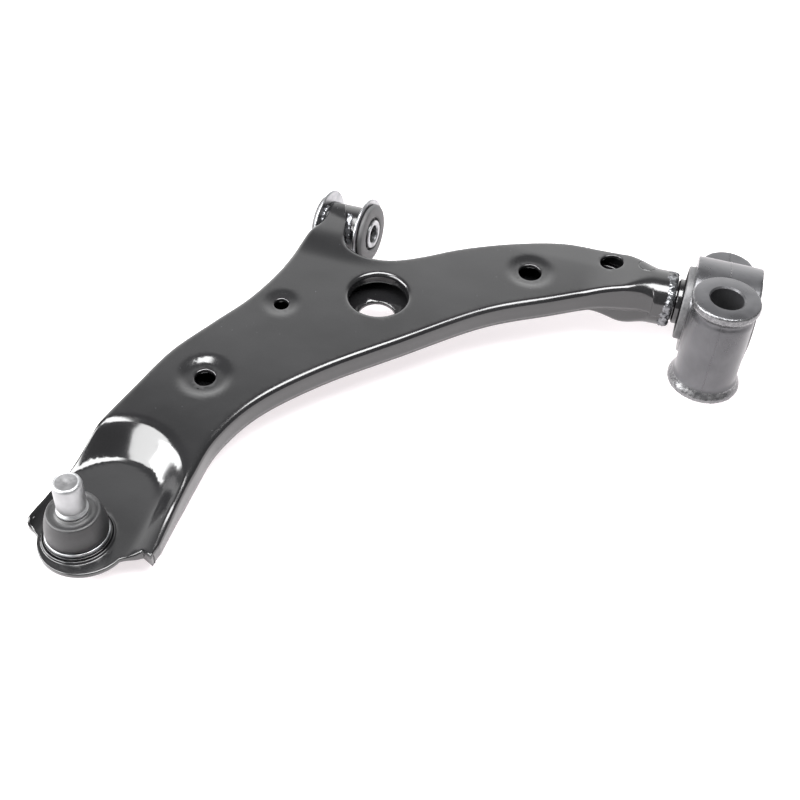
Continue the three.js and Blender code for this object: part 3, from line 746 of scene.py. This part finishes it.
def half_rubber(side):
    """Half of the bush rubber's profile: a waist in the sleeve and a domed disc with a recess."""
    return [
        (rubber_core, side * (buffer_face - 1)),
        (rubber_core, side * buffer_face),
        (BUFFER_RADIUS - 0.8, side * buffer_face),
        (BUFFER_RADIUS, side * (buffer_face + 0.9)),
        (BUFFER_RADIUS, side * (buffer_face + BUFFER_THICKNESS - 1.8)),
        (BUFFER_RADIUS - 1.2, side * (buffer_face + BUFFER_THICKNESS - 0.4)),
        (BUFFER_RADIUS - 2.6, side * (buffer_face + BUFFER_THICKNESS)),
        (FRONT_SLEEVE + 3.4, side * (buffer_face + BUFFER_THICKNESS)),
        (FRONT_SLEEVE + 2.2, side * (buffer_face + BUFFER_THICKNESS - 0.7)),
        (FRONT_SLEEVE + 1.8, side * (buffer_face + BUFFER_THICKNESS - 3.2)),
        (rubber_bore, side * (buffer_face + BUFFER_THICKNESS - 3.4)),
    ]


rubber_profile = half_rubber(1) + half_rubber(-1)[::-1]
finish_piece(spun(rubber_profile, 96, 0.3), "bush_rubber", BUSH_RUBBER, "arm",
             ["front_bush_rubber"], place=eye_turn)

half_sleeve = FRONT_SLEEVE_LENGTH / 2
finish_piece(spun([
    (FRONT_BORE, 1 - half_sleeve), (FRONT_BORE + 1, -half_sleeve), (FRONT_SLEEVE - 0.6, -half_sleeve),
    (FRONT_SLEEVE, 0.6 - half_sleeve), (FRONT_SLEEVE, half_sleeve - 0.6),
    (FRONT_SLEEVE - 0.6, half_sleeve), (FRONT_BORE + 1, half_sleeve), (FRONT_BORE, half_sleeve - 1),
], 80, 0.15), "pivot_sleeve", ZINC, "front_pivot_sleeve",
    ["front_bush_inner_sleeve"], place=eye_turn)


# ---------------------------------------------------------------- weld beads
def weld_bead(ring, width, lift, start, end, ripples, drift=0, seed=0, sections=14):
    """A bead laid round Z: a flattened section swept through an angle, with ripples and lumps."""
    bm = bmesh.new()
    full = abs(end - start) >= 359
    bmesh.ops.create_circle(bm, segments=sections, radius=1, cap_ends=not full)
    bmesh.ops.rotate(bm, verts=bm.verts, cent=(0, 0, 0), matrix=Matrix.Rotation(pi / 2, 3, "X"))
    bmesh.ops.scale(bm, vec=(lift, 1, width), verts=bm.verts)
    bmesh.ops.translate(bm, vec=(ring, 0, 0), verts=bm.verts)
    bmesh.ops.rotate(bm, verts=bm.verts, cent=(0, 0, 0), matrix=Matrix.Rotation(radians(start), 3, "Z"))
    steps = max(12, int(abs(end - start) / 2.2))
    bmesh.ops.spin(bm, geom=bm.verts[:] + bm.edges[:] + bm.faces[:], cent=(0, 0, 0), axis=(0, 0, 1),
                   angle=radians(end - start), steps=steps, dvec=(0, 0, drift / steps), use_merge=full)
    bmesh.ops.remove_doubles(bm, verts=bm.verts, dist=1e-4)
    bmesh.ops.recalc_face_normals(bm, faces=bm.faces)
    for vert in bm.verts:
        turn = atan2(vert.co.y, vert.co.x)
        out = Vector((cos(turn), sin(turn), 0))
        wave = abs(sin(turn * ripples / 2 + vert.co.z * 0.25)) - 0.5
        lump = noise.noise(vert.co * 0.42 + Vector((seed, 0, 0)))
        share = 0.16 * wave + 0.6 * lump
        proud = vert.co - out * (ring - lift)
        vert.co += out * lift * share * (1 if proud.dot(out) > 0 else 0.2)
        vert.co.z += width * 0.3 * noise.noise(vert.co * 0.35 + Vector((0, seed, 3)))
    return bm


tongue_aft = TONGUE_OFFSET + TONGUE_WIDTH / 2
tongue_fore = TONGUE_OFFSET - TONGUE_WIDTH / 2


finish_piece(weld_bead(EYE_RADIUS + 0.6, 2.6, 1.9, -92, -160, 34, drift=-3, seed=4),
             "neck_weld_aft", WELD, "arm", ["eye_weld_aft"],
             place=eye_turn @ Matrix.Translation((0, 0, tongue_aft + 13)))
finish_piece(weld_bead(EYE_RADIUS + 0.4, 1.9, 1.5, -120, -172, 34, seed=9),
             "neck_weld_fore", WELD, "arm", ["eye_weld_fore"],
             place=eye_turn @ Matrix.Translation((0, 0, tongue_fore - 2.4)))
finish_piece(weld_bead(HORN_TUBE - 2, 4.4, 2.6, 0, 360, 22, seed=17),
             "end_weld", WELD, "arm", ["horn_weld"],
             place=horn_turn @ Matrix.Translation((0, 0, arm_end)))

# ---------------------------------------------------------------- horn and rear bush
ring_front = spread - BRACKET_LENGTH / 2
ring_rear = spread + BRACKET_LENGTH / 2
bush_front = ring_front - 5
bush_rear = ring_rear + 1.5
root_end = arm_end - HORN_ROOT_LENGTH
collar_rear = arm_end + FIT + HORN_COLLAR_LENGTH
spigot_rear = bush_rear - 0.5
finish_piece(spun([
    (0, root_end), (HORN_ROOT - 2, root_end), (HORN_ROOT, root_end + 3), (HORN_ROOT, arm_end + FIT),
    (HORN_NECK, arm_end + FIT), (HORN_NECK, arm_end + 4.4), (HORN_NECK - 0.6, arm_end + 4.9),
    (HORN_NECK - 0.6, arm_end + 6),
    (HORN_COLLAR - 0.5, arm_end + 6.4), (HORN_COLLAR, arm_end + 7), (HORN_COLLAR, collar_rear - 2.2),
    (HORN_COLLAR - 1.6, collar_rear), (HORN_SPIGOT, collar_rear), (HORN_SPIGOT, spigot_rear - 2),
    (HORN_SPIGOT - 2, spigot_rear), (3, spigot_rear), (0, spigot_rear - 1.8),
], 80), "horn_pin", PAINT, "arm", ["rear_horn"], place=horn_turn)

finish_piece(spun([
    (HORN_SPIGOT + 0.1, collar_rear + FIT), (REAR_SLEEVE, collar_rear + FIT),
    (REAR_SLEEVE, bush_rear), (HORN_SPIGOT + 0.1, bush_rear),
], 80), "rear_inner_sleeve", STEEL, "arm", ["rear_bush_inner_sleeve"], place=horn_turn)

ring_bore = REAR_BUSH - REAR_RING_WALL
finish_piece(spun([
    (REAR_SLEEVE + FIT, bush_front + 5), (REAR_SLEEVE + 1.2, bush_front + 3.2),
    (REAR_SLEEVE + 3, bush_front + 4.6), (ring_bore - 3.4, bush_front + 4.6),
    (ring_bore - 1.8, bush_front + 2.2), (ring_bore - FIT, bush_front + 1.8),
    (ring_bore - FIT, bush_rear - 2), (ring_bore - 1.8, bush_rear - 1.6),
    (ring_bore - 3.4, bush_rear - 4.2), (REAR_SLEEVE + 3, bush_rear - 4.2),
    (REAR_SLEEVE + 1.2, bush_rear - 2.6), (REAR_SLEEVE + FIT, bush_rear - 3.4),
], 80), "rear_rubber", BUSH_RUBBER, "rear_mount", ["rear_bush_rubber"], place=horn_turn)

finish_piece(spun([
    (ring_bore, bush_front + 0.5), (ring_bore + 0.6, bush_front), (REAR_BUSH - 0.8, bush_front),
    (REAR_BUSH, bush_front + 0.9), (REAR_BUSH, bush_rear), (ring_bore, bush_rear),
], 96), "rear_ring", FACE_STEEL, "rear_mount", ["rear_bush_outer_ring"], place=horn_turn)


# ---------------------------------------------------------------- rear bracket
def drum(radius, low, high, sides=96):
    """A plain solid drum about Z, used to build and bore the casting."""
    return spun([(0, low), (radius, low), (radius, high), (0, high)], sides, 0)


def casting_solid():
    """The ring and the two columns as separate solids, for joining and softening so that every inner
    corner gets a cast fillet.
    """
    head_foot = COLUMN_HEIGHT - HEAD_HEIGHT
    outboard = spun([
        (0, 0), (FOOT_RADIUS, 0), (FOOT_RADIUS, FOOT_HEIGHT * 0.3),
        (COLUMN_RADIUS + 1.5, FOOT_HEIGHT * 0.85), (COLUMN_RADIUS, FOOT_HEIGHT + 2),
        (COLUMN_RADIUS, head_foot - 5), (COLUMN_RADIUS - 2, head_foot),
        (COLUMN_RADIUS - 1, head_foot + 1), (HEAD_RADIUS, COLUMN_HEIGHT - HEAD_HEIGHT / 2),
        (HEAD_RADIUS - 0.9, COLUMN_HEIGHT), (0, COLUMN_HEIGHT),
    ], 96, 0)
    bmesh.ops.translate(outboard, vec=(spread, -COLUMN_SPREAD, 0), verts=outboard.verts)
    inboard = spun([
        (0, 0), (FOOT_RADIUS - 3, 0), (FOOT_RADIUS - 3, FOOT_HEIGHT * 0.3),
        (LOW_COLUMN_RADIUS, FOOT_HEIGHT),
        (LOW_COLUMN_RADIUS, LOW_COLUMN_HEIGHT - 1), (LOW_COLUMN_RADIUS - 1, LOW_COLUMN_HEIGHT),
        (0, LOW_COLUMN_HEIGHT),
    ], 96, 0)
    bmesh.ops.translate(inboard, vec=(spread, COLUMN_SPREAD, 0), verts=inboard.verts)
    ring = drum(BRACKET_RADIUS, ring_front, ring_rear, sides=128)
    bmesh.ops.transform(ring, matrix=horn_turn, verts=ring.verts)
    return outboard, inboard, ring


def scratch(bm, name):
    mesh = bpy.data.meshes.new(name)
    bm.to_mesh(mesh)
    bm.free()
    made = bpy.data.objects.new(name, mesh)
    bpy.context.scene.collection.objects.link(made)
    return made


def apply_modifiers(piece):
    """Replaces the mesh with what its modifiers make of it."""
    shape = bpy.data.meshes.new_from_object(piece.evaluated_get(bpy.context.evaluated_depsgraph_get()))
    piece.modifiers.clear()
    piece.data = shape


def boolean(piece, tool, operation):
    cut = piece.modifiers.new(operation.lower(), "BOOLEAN")
    cut.operation = operation
    cut.solver = "EXACT"
    cut.object = tool
    apply_modifiers(piece)
    bpy.data.objects.remove(tool)


def rear_bracket():
    outboard, inboard, ring = casting_solid()
    body = scratch(ring, "casting")
    boolean(body, scratch(outboard, "outboard"), "UNION")
    boolean(body, scratch(inboard, "inboard"), "UNION")
    fine = body.modifiers.new("even", "REMESH")
    fine.mode = "VOXEL"
    fine.voxel_size = 1.15
    apply_modifiers(body)

    bm = bmesh.new()
    bm.from_mesh(body.data)
    for _ in range(5):
        bmesh.ops.smooth_vert(bm, verts=bm.verts, factor=0.5, use_axis_x=True, use_axis_y=True,
                              use_axis_z=True)
    # the machined faces are cut flat again
    for height, up in ((COLUMN_HEIGHT - MACHINED, 1), (MACHINED, -1)):
        cut_flat(bm, Vector((0, 0, height)), Vector((0, 0, up)))
    for x, way in ((ring_front + MACHINED, -1), (ring_rear - MACHINED, 1)):
        near = [v for v in bm.verts if (v.co.x - x) * way > 0 and abs(v.co.y) < BRACKET_RADIUS
                and hypot(v.co.y, v.co.z - pivot_height) < BRACKET_RADIUS + 1]
        for vert in near:
            vert.co.x = x
    # a thin moulding line stands proud where the two halves of the mould met
    for offset in (-0.9, 0, 0.9):
        bmesh.ops.bisect_plane(bm, geom=bm.verts[:] + bm.edges[:] + bm.faces[:], dist=1e-4,
                               plane_co=(spread + offset, 0, 0), plane_no=(1, 0, 0))
    bm.normal_update()
    for vert in bm.verts:
        if abs(vert.co.x - spread) < 0.01 and FOOT_HEIGHT < vert.co.z < COLUMN_HEIGHT - 3:
            vert.co += vert.normal * PARTING_LINE
    bmesh.ops.triangulate(bm, faces=[f for f in bm.faces if len(f.verts) > 4])
    bm.to_mesh(body.data)
    bm.free()

    bores = [
        (REAR_BUSH + FIT, ring_front - 9, ring_rear + 9, "bush"),
        (COUNTERBORE_RADIUS, COLUMN_HEIGHT - COUNTERBORE_DEPTH, COLUMN_HEIGHT + 9, "head"),
        (BOLT_RADIUS, -9, COLUMN_HEIGHT + 9, "outboard"),
        (BOLT_RADIUS, -9, COLUMN_HEIGHT + 9, "inboard"),
    ]
    for radius, low, high, kind in bores:
        tool = drum(radius, low, high)
        if kind == "bush":
            bmesh.ops.transform(tool, matrix=horn_turn, verts=tool.verts)
        else:
            side = 1 if kind == "inboard" else -1
            bmesh.ops.translate(tool, vec=(spread, side * COLUMN_SPREAD, 0), verts=tool.verts)
        boolean(body, scratch(tool, kind), "DIFFERENCE")
    cone = spun([(0, COLUMN_HEIGHT - 2.2), (COUNTERBORE_RADIUS - 0.6, COLUMN_HEIGHT - 2.2),
                 (COUNTERBORE_RADIUS + 2.6, COLUMN_HEIGHT + 1), (0, COLUMN_HEIGHT + 1)], 96, 0)
    bmesh.ops.translate(cone, vec=(spread, -COLUMN_SPREAD, 0), verts=cone.verts)
    boolean(body, scratch(cone, "countersink"), "DIFFERENCE")

    bm = bmesh.new()
    bm.from_mesh(body.data)
    bpy.data.objects.remove(body)
    for face in bm.faces:
        face.material_index = 1 if on_raw_edge(face.calc_center_median(), face.normal) else 0
    return finish_piece(bm, "rear_casting", [CASTING, RAW_CASTING], "rear_mount",
                        ["rear_bracket"], sharp=34)


def cut_flat(bm, at, way):
    """Slices off what stands past a plane and closes the cut."""
    made = bmesh.ops.bisect_plane(bm, geom=bm.verts[:] + bm.edges[:] + bm.faces[:], dist=1e-4,
                                  plane_co=at, plane_no=way, clear_outer=True)
    rim = [g for g in made["geom_cut"] if isinstance(g, bmesh.types.BMEdge)]
    bmesh.ops.edgeloop_fill(bm, edges=rim)


def on_raw_edge(place, way):
    """The head's and the foot's slanted edges are left as cast."""
    across = hypot(place.x - spread, place.y + COLUMN_SPREAD)
    head = COLUMN_HEIGHT - HEAD_HEIGHT * 0.62 < place.z < COLUMN_HEIGHT - 0.6
    foot = 0.5 < place.z < FOOT_HEIGHT * 0.95
    return across > COLUMN_RADIUS - 1 and abs(way.z) < 0.9 and (head or foot)


rear_bracket()


# ---------------------------------------------------------------- ball joint
def ball_arc(radius, start, end, pieces):
    """Points on an arc about the ball's centre, by the angle from straight up."""
    angles = [radians(mix(start, end, i / pieces)) for i in range(pieces + 1)]
    return [(radius * sin(a), BALL_HEIGHT + radius * cos(a)) for a in angles]


cavity = BALL_RADIUS + FIT + SEAT_WALL + FIT
cap_top = BALL_HEIGHT - cavity
cap_bottom = cap_top - CAP_THICKNESS
mouth = 12
flange_top = PLATE_TOP + HOUSING_FLANGE_THICKNESS
finish_piece(spun([
    (cavity - 2, 0), (HOUSING_RADIUS - 3.4, 0), (HOUSING_RADIUS - 2.6, 0.6), (HOUSING_RADIUS, 8),
    (HOUSING_RADIUS, PLATE_TOP + FIT), (HOUSING_FLANGE, PLATE_TOP + FIT),
    (HOUSING_FLANGE, flange_top), (HOUSING_RADIUS - 2, flange_top),
    (HOUSING_RADIUS - 2, HOUSING_TOP), (mouth + 1.2, HOUSING_TOP),
    *ball_arc(cavity, degrees(asin(mouth / cavity)), 90, 12),
    (cavity, cap_bottom - FIT), (cavity - 2, cap_bottom - FIT),
], 96, 0.25), "joint_housing", PAINT, "arm", ["ball_joint_housing"], place=at_ball)
finish_piece(spun([
    (0, cap_bottom + 0.5), (5, cap_bottom + 0.4), (7, cap_bottom), (cavity - FIT, cap_bottom),
    (cavity - FIT, cap_top), (0, cap_top),
], 72), "closing_cap", ZINC, "arm", ["ball_joint_cap"], place=at_ball)

neck_foot = ball_arc(BALL_RADIUS, 180, degrees(asin(STUD_NECK / BALL_RADIUS)), 18)
neck_foot[0] = (0, BALL_HEIGHT - BALL_RADIUS)
waist = SHANK_RADIUS - 0.7
stud = spun([
    *neck_foot, (STUD_NECK, HOUSING_TOP + 2), (waist, COLLAR_HEIGHT - 7), (waist, COLLAR_HEIGHT),
    (SHANK_RADIUS + 0.5, COLLAR_HEIGHT), (SHANK_RADIUS + 0.9, COLLAR_HEIGHT + 0.5),
    (SHANK_RADIUS + 0.9, COLLAR_HEIGHT + 1.9), (SHANK_RADIUS - 0.4, COLLAR_HEIGHT + 3.3),
    (SHANK_RADIUS - 0.7, COLLAR_HEIGHT + 3.6), (SHANK_RADIUS - 0.7, COLLAR_HEIGHT + 4.4),
    (SHANK_RADIUS, COLLAR_HEIGHT + 5.2), (SHANK_RADIUS, STUD_TOP - 3.4),
    (SHANK_RADIUS - 0.35, STUD_TOP - 1.9), (SHANK_RADIUS - 1.1, STUD_TOP - 0.8),
    (SHANK_RADIUS - 2, STUD_TOP - 0.25), (SHANK_RADIUS - 2.7, STUD_TOP - 0.5),
    (3.2, STUD_TOP - 0.6), (2.2, STUD_TOP - 1), (0, STUD_TOP - 2.2),
], 80, 0.25)
for face in stud.faces:
    middle = face.calc_center_median()
    if middle.z > STUD_TOP - 2.4 and middle.xy.length < SHANK_RADIUS - 2.6:
        face.material_index = 1
finish_piece(stud, "stud", [STEEL, FACE_STEEL], "stud", ["ball_stud"], place=at_ball)

boot_foot = flange_top + FIT
boot_top = COLLAR_HEIGHT - FIT
band = HOUSING_FLANGE - 0.6
finish_piece(spun([
    (band - 1.4, boot_foot + 0.1), (band - 0.7, boot_foot), (band, boot_foot + 0.7),
    (band, boot_foot + 2.2), (band - 0.7, boot_foot + 3), (band - 1.4, boot_foot + 2.9),
], 96, 0.3), "boot_band", ZINC, "arm", ["boot_lower_ring"], place=at_ball)

bore = waist + FIT
outer_side = [(20.2, boot_foot), (20.2, boot_foot + 3.3), (21.0, boot_foot + 4), (21.3, boot_foot + 5.2),
              (21.3, boot_foot + 7), (21.1, boot_foot + 9.5), (20.75, 36), (20.6, BOOT_SPLIT)]
inner_side = [(18.1, BOOT_SPLIT), (18.3, 34), (18.5, 30), (18.3, boot_foot)]
lower_boot = spun(outer_side + inner_side, 96, 0)
upper_boot = spun([
    (20.6, BOOT_SPLIT), (20.2, 39), (19.7, 41), (19.1, 43), (18.6, 44.4), (18.35, 45.2), (18.1, 45.9),
    (17.6, 46.6), (16.9, 46.95), (16.1, 46.9), (15.4, 46.5), (14.6, 46.2), (13.4, 46.2), (12.4, 46.5),
    (11.6, 47.2), (10.9, boot_top), (bore, boot_top), (bore, boot_top - 1),
    (SHANK_RADIUS + 2.7, boot_top - 1.4), (SHANK_RADIUS + 2.7, boot_top - 4.5), (15.2, boot_top - 5),
    (16.6, 40.8), (17.8, 38.5), (18.1, BOOT_SPLIT),
], 96, 0)


lower = finish_piece(lower_boot, "boot_lower_half", BOOT_RUBBER, None, sharp=60, place=at_ball)
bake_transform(lower)
upper = finish_piece(upper_boot, "boot_upper_half", BOOT_RUBBER, None, ["dust_boot"],
                     sharp=60, place=at_ball)
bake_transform(upper)

for name, material in (("ball_seat", ACETAL), ("boot_top_ring", ZINC)):
    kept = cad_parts[name]
    kept.data.materials.clear()
    kept.data.materials.append(material)


# ---------------------------------------------------------------- stage, light and camera
def floor():
    bm = bmesh.new()
    bmesh.ops.create_grid(bm, x_segments=1, y_segments=1, size=6)
    mesh = bpy.data.meshes.new("floor")
    bm.to_mesh(mesh)
    bm.free()
    ground = bpy.data.objects.new("floor", mesh)
    ground.location.z = -0.0004
    bpy.context.scene.collection.objects.link(ground)
    # a translucent table lit from below, so that shadows on it stay faint
    table = new_material("lit_acrylic_table", {
        "Base Color": colour("#b0aeaf"), "Roughness": 0.9,
        "Emission Color": colour("#fff8fa"), "Emission Strength": 0.72,
    })[0]
    mesh.materials.append(table)


def softbox(name, place, aim, width, depth, power):
    light = bpy.data.lights.new(name, "AREA")
    light.shape = "RECTANGLE"
    light.size = width
    light.size_y = depth
    light.energy = power
    lamp = bpy.data.objects.new(name, light)
    lamp.location = place
    lamp.rotation_euler = (Vector(aim) - Vector(place)).to_track_quat("-Z", "Y").to_euler()
    bpy.context.scene.collection.objects.link(lamp)


def surroundings():
    """A studio that is dark towards the camera and pale behind the part."""
    world = bpy.context.scene.world or bpy.data.worlds.new("studio")
    bpy.context.scene.world = world
    world.use_nodes = True
    tree = world.node_tree
    back = next(n for n in tree.nodes if n.type == "BACKGROUND")
    place = node(tree, "ShaderNodeTexCoord").outputs["Generated"]
    turned = node(tree, "ShaderNodeMapping", {"Vector": place, "Rotation": (0, 0, radians(-104))})
    ahead = node(tree, "ShaderNodeSeparateXYZ", {"Vector": turned.outputs["Vector"]}).outputs["X"]
    shade = node(tree, "ShaderNodeMapRange", {
        "Value": ahead, "From Min": 0.45, "From Max": 0.88, "To Min": 0.3, "To Max": 2.4,
    }, interpolation_type="SMOOTHSTEP").outputs["Result"]
    tree.links.new(shade, back.inputs["Strength"])
    back.inputs["Color"].default_value = colour("#ffffff")


CAMERA_PLACE = (251.4, -776.2, 649.5)


def camera():
    """Looks down at 45 degrees across the part, with a slight roll."""
    heading = radians(14.15)
    roll = radians(3.7)
    forward = Vector((-sin(heading), cos(heading), -1)).normalized()
    right = Vector((cos(heading), sin(heading), 0))
    down = forward.cross(right)
    turned_right = right * cos(roll) - down * sin(roll)
    turned_down = right * sin(roll) + down * cos(roll)
    lens = bpy.data.cameras.new("camera")
    lens.lens = 52.65
    lens.sensor_width = 36
    lens.clip_start = 0.01
    view = bpy.data.objects.new("camera", lens)
    axes = Matrix((turned_right, -turned_down, -forward)).transposed().to_4x4()
    view.matrix_world = Matrix.Translation(home + Vector(CAMERA_PLACE) * MM) @ axes
    bpy.context.scene.collection.objects.link(view)
    bpy.context.scene.camera = view


floor()
surroundings()
softbox("overhead", (0.15, -0.15, 1.5), (0.15, -0.15, 0), 1.5, 0.8, 75)
softbox("window", (-1.9, -1.5, 1.5), (-1.9, -1.5, 0), 2.2, 2.0, 190)
softbox("left", (-2.3, -0.5, 0.9), (0, -0.2, 0), 1.4, 0.9, 70)
camera()
bpy.context.scene.view_settings.view_transform = "Standard"
